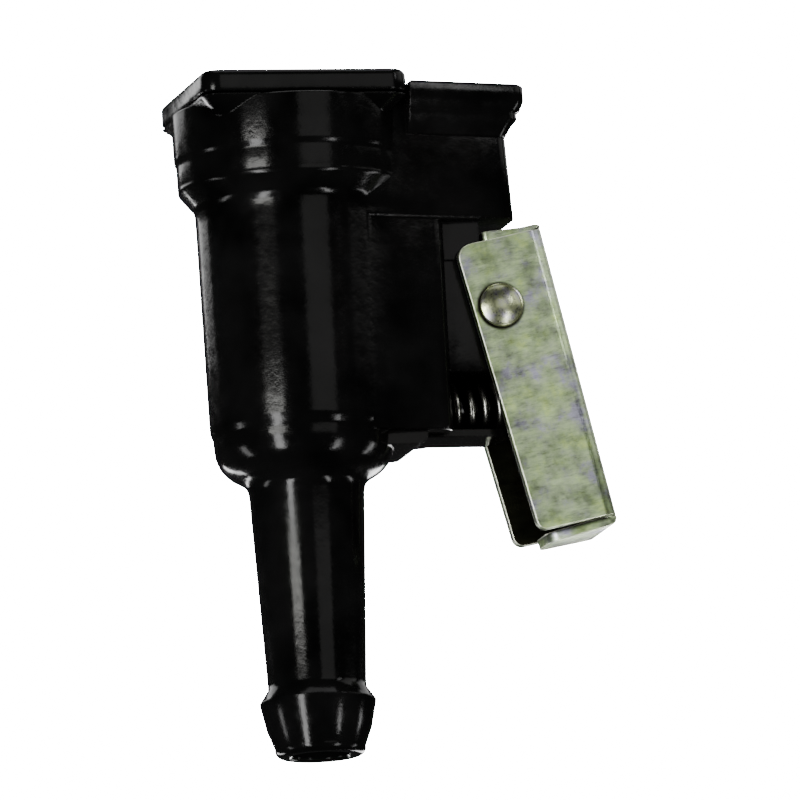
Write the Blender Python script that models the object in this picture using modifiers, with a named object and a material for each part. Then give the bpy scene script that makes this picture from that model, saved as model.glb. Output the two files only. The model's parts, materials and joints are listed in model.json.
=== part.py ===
# Fuel line quick connector, hose end (the female half that plugs onto an outboard motor).
# Metres, +Z up. The origin is on the fuel axis, in the face that meets the motor's fitting.
# +X points at the latch lever, -Y is the side with the rivet's domed head.
import math

import bmesh
import bpy
from mathutils import Matrix, Vector

MM = 0.001
GAP = 0.3                # clearance between pieces that touch

# driving dimensions, in millimetres
LENGTH = 67.8            # mating face to hose tip
PLATE_HALF = 10.3        # square socket cap, front to back and to the right
PLATE_LEFT = 10.75       # and to the left
PLATE_THICK = 2.2
COLLAR_R = 11.6
BARREL_R = 9.65
BARREL_END = 35.7        # depth where the barrel starts to round into the hose tail
TAIL_R = 5.79            # hose tail at its root
TAIL_TIP_R = 4.88        # hose tail above the barb
BARB_R = 5.8
HOSE_BORE_R = 2.9
SOCKET_R = 4.7           # fuel nipple socket
CAVITY_R = 6.8           # valve chamber
COUNTERBORE_R = 8.5      # seat and seals above the valve chamber
LEDGE = 13.3             # depth of the ledge below the counterbore
CHAMBER_END = 31.9       # depth of the ledge below the valve chamber
GUIDE_X = 15.5           # guide pin hole
GUIDE_R = 3.5
GUIDE_DEPTH = 20.5
LOBE_X = 21.6            # right face of the guide lobe
RIM_X = 23.25            # right end of the guide lobe's rim
SEAT_X = 14.3            # wall that the lever spring pushes on
EAR_HALF = 4.0           # ears between the lever's flanges
PIVOT_X, PIVOT_Z = 19.6, -23.4
PIN_R = 1.5
SHEET = 1.0              # lever sheet
LEVER_HALF = 5.45
SPRING_Z = -32.7
SPRING_R = 2.2
SPRING_TURNS = 7.5
WIRE_R = 0.35

for old in list(bpy.data.objects):
    bpy.data.objects.remove(old, do_unlink=True)

connector = bpy.data.collections.new("fuel_line_connector")
cutters = bpy.data.collections.new("cutters")
bpy.context.scene.collection.children.link(connector)
bpy.context.scene.collection.children.link(cutters)
cutters.hide_render = True


def colour(red, green, blue):
    return tuple((c / 255) ** 2.2 for c in (red, green, blue)) + (1.0,)


def material(name, rgb, roughness, metallic=0.0):
    made = bpy.data.materials.new(name)
    made.use_nodes = True
    shader = made.node_tree.nodes["Principled BSDF"]
    shader.inputs["Base Color"].default_value = colour(*rgb)
    shader.inputs["Roughness"].default_value = roughness
    shader.inputs["Metallic"].default_value = metallic
    return made


nylon = material("black_nylon", (14, 14, 15), 0.35)
acetal = material("white_acetal", (214, 210, 196), 0.4)
rubber = material("nitrile_rubber", (20, 20, 20), 0.6)
zinc = material("zinc_plated_steel", (170, 176, 150), 0.35, 1.0)
steel = material("rivet_steel", (175, 175, 165), 0.3, 1.0)
wire = material("spring_steel", (120, 120, 115), 0.3, 1.0)
brass = material("turned_brass", (181, 151, 84), 0.3, 1.0)


def place(obj, finish=None):
    """Puts a piece with the connector, or a helper shape with the cutters."""
    if finish:
        connector.objects.link(obj)
        obj.data.materials.append(finish)
    else:
        cutters.objects.link(obj)
        obj.hide_render = True
        obj.display_type = "WIRE"
    return obj


def smooth(mesh):
    mesh.shade_smooth()
    mesh.set_sharp_from_angle(angle=math.radians(35))


def turned(name, profile, finish=None, closed=False, segments=48):
    """Revolves (radius, z) points about Z. The profile runs down its outer side."""
    bm = bmesh.new()
    points = [bm.verts.new((r * MM, 0, z * MM)) for r, z in profile]
    for a, b in zip(points, points[1:]):
        bm.edges.new((a, b))
    if closed:
        bm.edges.new((points[-1], points[0]))
    mesh = bpy.data.meshes.new(name)
    bm.to_mesh(mesh)
    bm.free()
    obj = place(bpy.data.objects.new(name, mesh), finish)
    screw = obj.modifiers.new("turn", "SCREW")
    screw.axis = "Z"
    screw.steps = screw.render_steps = segments
    screw.use_merge_vertices = True
    screw.merge_threshold = 0.00001
    screw.use_smooth_shade = True
    return obj


def rounded(corners, steps=4):
    """Outline through (x, y, radius) corners, each turned into an arc."""
    points = []
    for i, (x, y, radius) in enumerate(corners):
        here = Vector((x, y))
        before = (Vector(corners[i - 1][:2]) - here).normalized()
        after = (Vector(corners[(i + 1) % len(corners)][:2]) - here).normalized()
        if radius == 0:
            points.append(here)
            continue
        half = before.angle(after) / 2
        centre = here + (before + after).normalized() * radius / math.sin(half)
        start = here + before * radius / math.tan(half) - centre
        turn = math.pi - 2 * half
        if before.cross(after) > 0:
            turn = -turn
        for k in range(steps + 1):
            points.append(centre + Matrix.Rotation(turn * k / steps, 2) @ start)
    return points


def to_mesh_object(curve_obj, name, finish):
    """The curve's mesh with its caps welded, in place of the curve."""
    bpy.context.view_layer.update()
    graph = bpy.context.evaluated_depsgraph_get()
    mesh = bpy.data.meshes.new_from_object(curve_obj.evaluated_get(graph))
    bm = bmesh.new()
    bm.from_mesh(mesh)
    bmesh.ops.remove_doubles(bm, verts=bm.verts, dist=0.00001)
    bm.to_mesh(mesh)
    bm.free()
    mesh.materials.clear()
    obj = bpy.data.objects.new(name, mesh)
    obj.matrix_world = curve_obj.matrix_world.copy()
    bpy.data.objects.remove(curve_obj, do_unlink=True)
    return place(obj, finish)


def flat(name, outline, low, high, upright=False, finish=None):
    """An outline extruded from low to high: along Z, or along Y when upright (outline in X and Z)."""
    data = bpy.data.curves.new(name + "_outline", "CURVE")
    data.dimensions = "2D"
    data.fill_mode = "BOTH"
    data.extrude = (high - low) / 2 * MM
    spline = data.splines.new("POLY")
    spline.points.add(len(outline) - 1)
    for point, (x, y) in zip(spline.points, outline):
        point.co = (x * MM, y * MM, 0, 1)
    spline.use_cyclic_u = True
    obj = bpy.data.objects.new(name + "_outline", data)
    cutters.objects.link(obj)
    middle = (high + low) / 2 * MM
    if upright:
        obj.rotation_euler = (math.pi / 2, 0, 0)
        obj.location = (0, middle, 0)
    else:
        obj.location = (0, 0, middle)
    return to_mesh_object(obj, name, finish)


def loft(name, sections, finish=None):
    """Skins a stack of (z, outline) sections with equal point counts, lowest last."""
    bm = bmesh.new()
    rings = [[bm.verts.new((p[0] * MM, p[1] * MM, z * MM)) for p in line] for z, line in sections]
    count = len(rings[0])
    for upper, lower in zip(rings, rings[1:]):
        for i in range(count):
            j = (i + 1) % count
            bm.faces.new((upper[i], lower[i], lower[j], upper[j]))
    bm.faces.new(rings[0])
    bm.faces.new(list(reversed(rings[-1])))
    bmesh.ops.recalc_face_normals(bm, faces=bm.faces)
    mesh = bpy.data.meshes.new(name)
    bm.to_mesh(mesh)
    bm.free()
    return place(bpy.data.objects.new(name, mesh), finish)


def cylinder(name, radius, start, end, segments=32):
    """A round cutter between two points, in millimetres."""
    start, end = Vector(start) * MM, Vector(end) * MM
    along = end - start
    bm = bmesh.new()
    bmesh.ops.create_cone(bm, cap_ends=True, segments=segments, radius1=radius * MM,
                          radius2=radius * MM, depth=along.length)
    mesh = bpy.data.meshes.new(name)
    bm.to_mesh(mesh)
    bm.free()
    obj = place(bpy.data.objects.new(name, mesh))
    obj.location = (start + end) / 2
    obj.rotation_euler = along.to_track_quat("Z", "Y").to_euler()
    return obj


def box(name, low, high):
    bm = bmesh.new()
    bmesh.ops.create_cube(bm, size=1.0)
    low, high = Vector(low) * MM, Vector(high) * MM
    bmesh.ops.scale(bm, vec=high - low, verts=bm.verts)
    bmesh.ops.translate(bm, vec=(high + low) / 2, verts=bm.verts)
    mesh = bpy.data.meshes.new(name)
    bm.to_mesh(mesh)
    bm.free()
    return place(bpy.data.objects.new(name, mesh))


def combine(obj, others, operation):
    for other in others:
        step = obj.modifiers.new(other.name, "BOOLEAN")
        step.operation = operation
        step.solver = "EXACT"
        step.object = other


def helix(name, coil_r, wire_r, start, end, turns, finish, axis="Z"):
    """A compression spring with closed ends, along Z or X."""
    steps = 12
    closed_turns = 1.0
    total = int((turns + 2 * closed_turns) * steps)
    flat_rise = 2 * wire_r * 1.06
    points = []
    for i in range(total + 1):
        turn = i / steps
        if turn < closed_turns:
            rise = flat_rise * turn
        elif turn > turns + closed_turns:
            rise = end - start - flat_rise * (turns + 2 * closed_turns - turn)
        else:
            inner = end - start - 2 * flat_rise * closed_turns
            rise = flat_rise * closed_turns + inner * (turn - closed_turns) / turns
        angle = 2 * math.pi * turn
        across = (coil_r * math.cos(angle), coil_r * math.sin(angle))
        if axis == "Z":
            points.append((across[0], across[1], start + rise))
        else:
            points.append((start + rise, across[0], across[1]))
    data = bpy.data.curves.new(name, "CURVE")
    data.dimensions = "3D"
    data.bevel_depth = wire_r * MM
    data.bevel_resolution = 2
    data.use_fill_caps = True
    spline = data.splines.new("POLY")
    spline.points.add(len(points) - 1)
    for point, (x, y, z) in zip(spline.points, points):
        point.co = (x * MM, y * MM, z * MM, 1)
    obj = bpy.data.objects.new(name, data)
    connector.objects.link(obj)
    data.materials.append(finish)
    return obj


def arc(centre_r, centre_z, radius, first, last, steps=6):
    """Points of an arc in a turned profile, angles in degrees from +R towards +Z."""
    return [(centre_r + radius * math.cos(math.radians(first + (last - first) * k / steps)),
             centre_z + radius * math.sin(math.radians(first + (last - first) * k / steps)))
            for k in range(steps + 1)]


def plate_plan(inset):
    """Outline of the square cap, drawn in by an inset."""
    right, left, side, corner = PLATE_HALF - inset, -PLATE_LEFT + inset, PLATE_HALF - inset, 1.9 - inset
    return rounded([(right, side, corner), (left, side, corner), (left, -side, corner), (right, -side, corner)])


def lobe_half(x):
    """Half depth of the guide lobe at x: it narrows away from the barrel."""
    return 7.0 - (x - 9.0) * 0.19


# body: barrel, hose tail and barb turned in one, with the guide lobe beside it
def make_body():
    body_top = -(PLATE_THICK + GAP)
    end = -BARREL_END
    outer = [(0, body_top), (COLLAR_R, body_top), (COLLAR_R - 0.25, -10.3), (9.8, -12.2),
             (BARREL_R, -14.0), (BARREL_R - 0.34, end), (9.15, -36.6), (8.8, -37.75), (8.0, -38.95),
             (6.9, -39.75), (6.1, -40.35), (TAIL_R, -41.1), (TAIL_TIP_R, -61.1), (BARB_R, -62.1),
             (BARB_R, -62.5)]
    outer += arc(3.8, -LENGTH + 0.75, 0.75, 10, -90, 4)
    outer += [(0, -LENGTH)]
    body = turned("connector_body", outer, nylon)

    square = plate_plan(0)
    inner = [p.normalized() * min(p.length, COLLAR_R - 0.4) for p in square]
    gussets = loft("plate_gussets", [(body_top, square), (body_top - 2.0, inner)])

    lobe_bottom = end - 0.2
    def upper_plan(right):
        return rounded([(4, lobe_half(4), 0), (4, -lobe_half(4), 0),
                        (right, -lobe_half(right), 1.3), (right, lobe_half(right), 1.3)])
    upper_lobe = loft("upper_lobe", [(body_top - 0.6, upper_plan(LOBE_X - 0.3)), (-14.6, upper_plan(LOBE_X + 0.3))])
    slim = 0.25
    lower_plan = rounded([(4.1, lobe_half(4) - slim, 0), (4.1, -lobe_half(4) + slim, 0),
                          (SEAT_X, -lobe_half(SEAT_X) + slim, 1.5), (SEAT_X, lobe_half(SEAT_X) - slim, 1.5)])
    lower_lobe = flat("lower_lobe", lower_plan, lobe_bottom, -14.0)

    # rim round the guide pin hole, with its undercut end
    def rim_plan(reach, narrow):
        root = PLATE_HALF + GAP
        return rounded([(root, 9.0 - narrow, 0), (root, -9.0 + narrow, 0),
                        (reach, -6.1 + narrow, 1.4), (reach, 6.1 - narrow, 1.4)])
    rim = loft("guide_rim", [(-1.0, rim_plan(RIM_X - 0.3, 0.3)), (-1.3, rim_plan(RIM_X, 0)),
                             (-2.6, rim_plan(RIM_X, 0)), (-3.6, rim_plan(RIM_X - 0.4, 0.4)),
                             (-4.6, rim_plan(RIM_X - 0.8, 0.7)), (-6.1, rim_plan(LOBE_X - 0.15, 1.8))])
    ears = flat("ears", rounded([(12.1, -14.0, 0), (12.1, -29.8, 0), (19.4, -29.8, 2.4), (22.8, -26.6, 1.5),
                                 (22.8, -19.6, 1.0), (21.2, -17.6, 0.4), (21.2, -14.0, 0)]),
                -EAR_HALF, EAR_HALF, upright=True)
    shelf = flat("spring_shelf", rounded([(12, -2.6, 0), (20.8, -2.6, 1.2), (20.8, 2.6, 1.2), (12, 2.6, 0)]),
                 lobe_bottom - 0.25, lobe_bottom + 0.55)
    peg = cylinder("spring_peg", SPRING_R - WIRE_R - 0.4, (SEAT_X - 3, 0, SPRING_Z), (20.4, 0, SPRING_Z), 24)
    combine(body, [gussets, upper_lobe, lower_lobe, rim, ears, shelf], "UNION")

    flow = [(0, 1), (COUNTERBORE_R, 1), (COUNTERBORE_R, -LEDGE), (CAVITY_R, -LEDGE),
            (CAVITY_R, -CHAMBER_END), (5.2, -CHAMBER_END), (5.2, -34.0), (HOSE_BORE_R, -38.5),
            (HOSE_BORE_R, -LENGTH + 0.2), (HOSE_BORE_R + 0.3, -LENGTH - 0.1), (0, -LENGTH - 0.1)]
    flow_path = turned("flow_path", flow)
    guide = turned("guide_hole", [(0, 0), (GUIDE_R + 1.4, 0), (GUIDE_R, -2.0), (GUIDE_R, -GUIDE_DEPTH + 0.8),
                                  (GUIDE_R - 0.8, -GUIDE_DEPTH), (0, -GUIDE_DEPTH)])
    guide.location.x = GUIDE_X * MM
    window = box("tooth_window", (17.0, -6.0, -17.5), (26.0, 6.0, -14.4))
    pivot_hole = cylinder("pivot_hole", PIN_R + GAP, (PIVOT_X, -9, PIVOT_Z), (PIVOT_X, 9, PIVOT_Z))
    pocket = cylinder("spring_pocket", SPRING_R + WIRE_R + 0.3, (SEAT_X - 1.4, 0, SPRING_Z),
                      (SEAT_X + 1, 0, SPRING_Z))
    combine(body, [flow_path, guide, window, pivot_hole, pocket], "DIFFERENCE")
    combine(body, [peg], "UNION")
    return body


# socket cap: square plate with a spigot that drops into the counterbore
def make_cap():
    edge = 0.7
    cap = loft("socket_cap", [(0, plate_plan(edge)), (-edge * 0.3, plate_plan(edge * 0.3)), (-edge, plate_plan(0)),
                              (-PLATE_THICK, plate_plan(0))], nylon)
    spigot = turned("cap_spigot", [(0, -1), (COUNTERBORE_R - GAP, -1), (COUNTERBORE_R - GAP, -4.6), (0, -4.6)])
    combine(cap, [spigot], "UNION")
    socket = turned("cap_socket", [(0, 1), (SOCKET_R + 1.0, 1), (SOCKET_R + 1.0, 0), (SOCKET_R, -1.0),
                                   (SOCKET_R, -6), (0, -6)])
    combine(cap, [socket], "DIFFERENCE")
    return cap


def ring(name, inner_r, outer_r, low, high, finish, chamfer=0.2):
    """A turned ring with small chamfers on its outer corners."""
    return turned(name, [(inner_r, high), (outer_r - chamfer, high), (outer_r, high - chamfer),
                         (outer_r, low + chamfer), (outer_r - chamfer, low), (inner_r, low)],
                  finish, closed=True)


def o_ring(name, centre_r, thick_r, z, finish):
    section = arc(centre_r, z, thick_r, 90, -270, 12)[:-1]
    return turned(name, section, finish, closed=True)


# seals, seat and check valve, from the mating face down
def make_valve():
    fit = COUNTERBORE_R - GAP
    o_ring("socket_oring", 5.45, 1.05, -6.1, rubber)
    ring("seal_carrier", 6.8, fit, -7.3, -4.9, acetal)
    seat_top, seat_low = -7.6, -12.0
    turned("valve_seat", [(4.9, seat_top), (fit - 0.2, seat_top), (fit, seat_top - 0.2), (fit, seat_low + 0.2),
                          (fit - 0.2, seat_low), (4.2, seat_low), (3.0, seat_low + 1.1), (3.0, seat_low + 1.6),
                          (4.9, seat_top - 1.9)], brass, closed=True)
    ring("seat_gasket", CAVITY_R + 0.2, fit, -LEDGE + GAP, seat_low - GAP, rubber, 0.1)

    nose_r, stem_r, head_r = 1.5, 1.6, 5.0
    head_top, head_low = -13.9, -15.8
    stem_end = -33.0
    turned("valve_plunger", [(0, -8.0), (nose_r - 0.4, -8.0), (nose_r, -8.4), (nose_r, -12.2), (2.4, head_top),
                             (head_r - 0.3, head_top), (head_r, head_top - 0.3), (head_r, head_low),
                             (2.2, head_low), (stem_r, head_low - 0.8), (stem_r, stem_end + 0.5),
                             (stem_r - 0.5, stem_end), (0, stem_end)], acetal, segments=36)
    o_ring("plunger_seal", 3.75, 0.75, head_top + GAP + 0.75, rubber)
    spring_low = -29.5 + WIRE_R
    helix("valve_spring", 3.4, WIRE_R, spring_low, head_low - GAP - WIRE_R, 6, wire)

    retainer = ring("spring_retainer", 2.0, CAVITY_R - GAP, -31.6, -29.8, acetal)
    holes = [cylinder("flow_hole_%d" % k, 1.1,
                      (4.3 * math.cos(k * math.pi / 3), 4.3 * math.sin(k * math.pi / 3), -33),
                      (4.3 * math.cos(k * math.pi / 3), 4.3 * math.sin(k * math.pi / 3), -28), 16)
             for k in range(6)]
    combine(retainer, holes, "DIFFERENCE")


# latch lever: a pressed channel, open towards the body, latch plate at the top and thumb tab at the foot
WEB_TOP = (24.35, -15.0)
WEB_FOOT = (30.65, -44.7)
EDGE_TOP = (15.1, -17.4)
EDGE_FOOT = (22.6, -46.8)
LATCH_X = 18.3           # tip of the latch plate, 0.7 mm into the guide pin's hole
web_run = Vector(WEB_FOOT) - Vector(WEB_TOP)
web_along = web_run.normalized()
web_in = Vector((web_along.y, -web_along.x))      # from the web's outer face to the body


def from_web(down, inward):
    """A point in X and Z, measured down the web's outer face and inwards from it."""
    return Vector(WEB_TOP) + web_along * down + web_in * inward


def make_lever():
    long = web_run.length
    latch_top = -15.65
    outline = rounded([(*WEB_TOP, 0), (LATCH_X, latch_top, 0.3), (LATCH_X, latch_top - 1.15, 0),
                       (*EDGE_TOP, 1.5), (*EDGE_FOOT, 1.4), (*WEB_FOOT, 0)])
    lever = flat("latch_lever", outline, -LEVER_HALF, LEVER_HALF, upright=True, finish=zinc)
    soften = lever.modifiers.new("bend", "BEVEL")
    soften.width = 0.9 * MM
    soften.segments = 3
    soften.limit_method = "WEIGHT"
    weights = lever.data.attributes.new("bevel_weight_edge", "FLOAT", "EDGE")
    for edge in lever.data.edges:
        ends = [lever.matrix_world @ lever.data.vertices[i].co / MM for i in edge.vertices]
        on_web = all(abs((Vector((p.x, p.z)) - Vector(WEB_TOP)).dot(web_in)) < 0.05 for p in ends)
        if on_web and abs(ends[0].y - ends[1].y) < 0.05:
            weights.data[edge.index].value = 1.0

    inside = LEVER_HALF - SHEET
    tab_reach = 7.0
    channel = flat("lever_channel", [from_web(SHEET + 0.1, SHEET), Vector((LATCH_X - 6, latch_top - SHEET - 0.75)),
                                     from_web(long + 4, 15), from_web(long + 4, tab_reach),
                                     from_web(long - 0.4, tab_reach), from_web(long - 0.7, SHEET)],
                   -inside, inside, upright=True)
    hole = cylinder("lever_hole", PIN_R + GAP, (PIVOT_X, -9, PIVOT_Z), (PIVOT_X, 9, PIVOT_Z))
    combine(lever, [channel, hole], "DIFFERENCE")
    return lever


# rivet through both flanges and the ears, dome at -Y, upset end on a washer at +Y
def make_rivet():
    face = LEVER_HALF + GAP
    head_r, head_h = 2.2, 0.95
    washer_thick = 0.4
    tail = face + washer_thick + GAP
    dome_r = (head_r ** 2 + head_h ** 2) / (2 * head_h)
    dome = []
    for k in range(6):
        r = head_r * k / 5
        dome.append((r, face + head_h - dome_r + math.sqrt(dome_r ** 2 - r ** 2)))
    profile = dome + [(head_r, face), (PIN_R, face), (PIN_R, -tail), (2.0, -tail), (2.0, -tail - 0.3),
                      (1.5, -tail - 0.6), (0, -tail - 0.7)]
    rivet = turned("lever_rivet", profile, steel, segments=32)
    washer = ring("rivet_washer", PIN_R + GAP, 2.8, -face - washer_thick, -face, steel, 0.1)
    for obj in (rivet, washer):
        obj.rotation_euler = (math.pi / 2, 0, 0)
        obj.location = (PIVOT_X * MM, 0, PIVOT_Z * MM)


def set_origin(obj, x, y, z):
    """Moves the origin of a piece and leaves its shape where it is."""
    bpy.context.view_layer.update()
    there = Matrix.Translation(Vector((x, y, z)) * MM)
    obj.data.transform(there.inverted() @ obj.matrix_world)
    obj.matrix_world = there


make_body()
make_cap()
make_valve()
lever = make_lever()
set_origin(lever, PIVOT_X, 0, PIVOT_Z)
make_rivet()
spring = helix("lever_spring", SPRING_R, WIRE_R, SEAT_X - 1.1 + WIRE_R, 26.0, SPRING_TURNS, wire, axis="X")
spring.location.z = SPRING_Z * MM

for obj in connector.objects:
    if obj.type == "MESH":
        smooth(obj.data)
print("fuel line connector:", len(connector.objects), "pieces")
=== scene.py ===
import json
import math

import bpy
from mathutils import Matrix, Vector


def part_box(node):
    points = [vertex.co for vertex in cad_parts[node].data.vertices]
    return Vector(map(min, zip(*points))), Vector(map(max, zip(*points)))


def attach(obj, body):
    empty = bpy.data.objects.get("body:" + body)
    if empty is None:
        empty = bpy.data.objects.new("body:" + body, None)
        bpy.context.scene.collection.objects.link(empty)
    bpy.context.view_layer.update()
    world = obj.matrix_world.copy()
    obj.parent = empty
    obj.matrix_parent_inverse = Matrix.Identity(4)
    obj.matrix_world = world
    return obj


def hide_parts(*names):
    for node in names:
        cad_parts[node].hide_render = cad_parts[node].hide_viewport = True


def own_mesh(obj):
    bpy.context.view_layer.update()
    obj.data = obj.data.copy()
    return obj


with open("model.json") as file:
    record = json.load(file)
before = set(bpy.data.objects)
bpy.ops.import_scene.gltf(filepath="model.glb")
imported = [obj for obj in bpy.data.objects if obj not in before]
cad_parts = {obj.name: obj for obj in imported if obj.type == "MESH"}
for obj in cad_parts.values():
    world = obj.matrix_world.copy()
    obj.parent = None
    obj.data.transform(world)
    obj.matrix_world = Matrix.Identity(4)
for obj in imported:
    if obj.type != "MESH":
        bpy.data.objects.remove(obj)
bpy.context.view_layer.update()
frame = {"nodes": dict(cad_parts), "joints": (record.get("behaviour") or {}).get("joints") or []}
mm = 0.001
capLow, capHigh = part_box("socket_cap")
bodyLow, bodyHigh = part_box("connector_body")
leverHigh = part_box("latch_lever")[1]
hinge = next(j for j in frame["joints"] if j["name"] == "latch_pivot")
pivot = Vector(hinge["pos_m"]) / mm          # the rivet's centre, in millimetres
tailEnd = bodyLow[2] / mm                    # hose tail tip
leverTop, leverTilt = Vector((24.35, 0, -15.0)), math.radians(11.98)     # top of the lever's web, its lean
print("frame loaded:", len(frame["nodes"]), "nodes")


# small helpers

def clearSelection():
    if bpy.context.object and bpy.context.object.mode != "OBJECT":
        bpy.ops.object.mode_set(mode="OBJECT")
    bpy.ops.object.select_all(action="DESELECT")


def pick(obj):
    clearSelection()
    obj.select_set(True)
    bpy.context.view_layer.objects.active = obj


# selects the faces, edges or vertices that pass the test, and stays in edit mode.
def selectParts(obj, kind, test):
    bpy.ops.object.mode_set(mode="EDIT")
    bpy.ops.mesh.select_mode(type=kind)
    bpy.ops.mesh.select_all(action="DESELECT")
    bpy.ops.object.mode_set(mode="OBJECT")
    mesh = obj.data
    parts = {"FACE": mesh.polygons, "EDGE": mesh.edges, "VERT": mesh.vertices}[kind]
    for part in parts:
        if kind == "FACE":
            part.select = test(part.center / mm, part.normal)
        elif kind == "EDGE":
            a, b = (mesh.vertices[i].co / mm for i in part.vertices)
            part.select = test(a, b)
        else:
            part.select = test(part.co / mm)
    bpy.ops.object.mode_set(mode="EDIT")


def applyAll(obj):
    pick(obj)
    for modifier in list(obj.modifiers):
        bpy.ops.object.modifier_apply(modifier=modifier.name)


# a cube between two corners in millimetres, its place in its mesh.
def block(name, low, high):
    clearSelection()
    low, high = Vector(low) * mm, Vector(high) * mm
    bpy.ops.mesh.primitive_cube_add(size=1, location=(low + high) / 2)
    obj = bpy.context.object
    obj.name = name
    obj.scale = high - low
    bpy.ops.object.transform_apply(location=True, rotation=True, scale=True)
    return obj


# bevels the edges that pass the test.
def roundEdges(obj, width, segments, test):
    pick(obj)
    selectParts(obj, "EDGE", test)
    bpy.ops.mesh.bevel(offset=width * mm, segments=segments, affect="EDGES")
    bpy.ops.object.mode_set(mode="OBJECT")


# a circle drawn out ring by ring along Z, as on a lathe. Rings are (radius, z) in millimetres, and a loop
# joins the last ring to the first.
def turn(name, rings, steps=96, loop=False):
    clearSelection()
    radius, z = rings[0]
    bpy.ops.mesh.primitive_circle_add(vertices=steps, radius=radius * mm, location=(0, 0, z * mm),
                                      fill_type="NOTHING" if loop else "NGON")
    obj = bpy.context.object
    obj.name = name
    bpy.ops.object.transform_apply(location=True)
    bpy.ops.object.mode_set(mode="EDIT")
    bpy.ops.mesh.select_mode(type="EDGE" if loop else "FACE")
    bpy.ops.mesh.select_all(action="SELECT")
    path = rings[1:] + (rings[:1] if loop else [])
    for nextRadius, nextZ in path:
        bpy.ops.mesh.extrude_region_move(TRANSFORM_OT_translate={"value": (0, 0, (nextZ - z) * mm)})
        ratio = nextRadius / radius
        bpy.ops.transform.resize(value=(ratio, ratio, 1), center_override=(0, 0, nextZ * mm))
        radius, z = nextRadius, nextZ
    bpy.ops.mesh.select_all(action="SELECT")
    bpy.ops.mesh.remove_doubles(threshold=0.000001)
    bpy.ops.mesh.normals_make_consistent(inside=False)
    bpy.ops.object.mode_set(mode="OBJECT")
    return obj


# rings along an arc, its angles in degrees from outwards towards +Z.
def bow(centreR, centreZ, radius, first, last, steps=8):
    rings = []
    for k in range(steps + 1):
        angle = math.radians(first + (last - first) * k / steps)
        rings.append((centreR + radius * math.cos(angle), centreZ + radius * math.sin(angle)))
    return rings


# joins or cuts with the others, which are used up.
def fuse(obj, others, operation):
    for other in others:
        pick(obj)
        step = obj.modifiers.new(other.name, "BOOLEAN")
        step.operation = operation
        step.solver = "MANIFOLD"
        step.object = other
        bpy.ops.object.modifier_apply(modifier=step.name)
        bpy.data.objects.remove(other, do_unlink=True)


# turns and moves a finished shape, in millimetres, and leaves its origin at the centre of the scene.
def lay(obj, move=(0, 0, 0), rotate=(0, 0, 0)):
    pick(obj)
    obj.rotation_euler = rotate
    obj.location = Vector(move) * mm
    bpy.ops.object.transform_apply(location=True, rotation=True, scale=True)


# shades a finished piece, gives it its material and ties it to the frame.
def settle(obj, body, node, finish, angle=32):
    pick(obj)
    bpy.ops.object.shade_smooth_by_angle(angle=math.radians(angle))
    obj.data.materials.clear()
    obj.data.materials.append(finish)
    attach(obj, body)
    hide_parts(node)


# materials

# an sRGB hex colour as linear RGBA.
def linear(code):
    parts = [int(code[i:i + 2], 16) / 255 for i in (1, 3, 5)]
    return tuple(c / 12.92 if c <= 0.04045 else ((c + 0.055) / 1.055) ** 2.4 for c in parts) + (1,)


# stops, for a colour ramp, are (position, hex colour or grey value) pairs.
def addNode(tree, kind, settings=None, inputs=None):
    node = tree.nodes.new(kind)
    for key, value in (settings or {}).items():
        if key != "stops":
            setattr(node, key, value)
            continue
        while len(node.color_ramp.elements) < len(value):
            node.color_ramp.elements.new(0.5)
        for element, (position, shade) in zip(node.color_ramp.elements, value):
            element.position = position
            element.color = linear(shade) if isinstance(shade, str) else (shade, shade, shade, 1)
    for key, value in (inputs or {}).items():
        if isinstance(value, bpy.types.NodeSocket):
            tree.links.new(value, node.inputs[key])
        else:
            node.inputs[key].default_value = value
    return node


def startMaterial(name, **surface):
    made = bpy.data.materials.new(name)
    made.use_nodes = True
    tree = made.node_tree
    shader = tree.nodes["Principled BSDF"]
    for key, value in surface.items():
        shader.inputs[key.replace("_", " ")].default_value = value
    place = addNode(tree, "ShaderNodeTexCoord").outputs["Object"]
    return made, tree, shader, place


def mouldedNylon():
    # injection moulded PA6, black: deep black with a satin skin, fine orange peel that breaks up highlights
    made, tree, shader, place = startMaterial("moulded_black_nylon", IOR=1.5, Specular_IOR_Level=0.055)
    mottle = addNode(tree, "ShaderNodeTexNoise", {}, {"Vector": place, "Scale": 1 / (1.1 * mm), "Detail": 4,
                                                      "Roughness": 0.6}).outputs["Fac"]
    speck = addNode(tree, "ShaderNodeTexNoise", {}, {"Vector": place, "Scale": 1 / (0.28 * mm), "Detail": 2,
                                                     "Roughness": 0.55}).outputs["Fac"]
    cloud = addNode(tree, "ShaderNodeTexNoise", {}, {"Vector": place, "Scale": 1 / (6 * mm), "Detail": 2,
                                                     "Roughness": 0.55}).outputs["Fac"]
    shade = addNode(tree, "ShaderNodeValToRGB", {"stops": [(0.3, "#010101"), (0.7, "#040404")]}, {"Fac": cloud})
    tree.links.new(shade.outputs["Color"], shader.inputs["Base Color"])
    satin = addNode(tree, "ShaderNodeValToRGB", {"stops": [(0.35, 0.1), (0.65, 0.18)]}, {"Fac": mottle})
    tree.links.new(satin.outputs["Color"], shader.inputs["Roughness"])
    soft = addNode(tree, "ShaderNodeBevel", {"samples": 4}, {"Radius": 0.22 * mm}).outputs["Normal"]
    peel = addNode(tree, "ShaderNodeBump", {}, {"Height": mottle, "Distance": 0.03 * mm, "Strength": 0.6,
                                                "Normal": soft}).outputs["Normal"]
    fine = addNode(tree, "ShaderNodeBump", {}, {"Height": speck, "Distance": 0.006 * mm, "Strength": 0.5,
                                                "Normal": peel}).outputs["Normal"]
    tree.links.new(fine, shader.inputs["Normal"])
    return made


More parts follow.
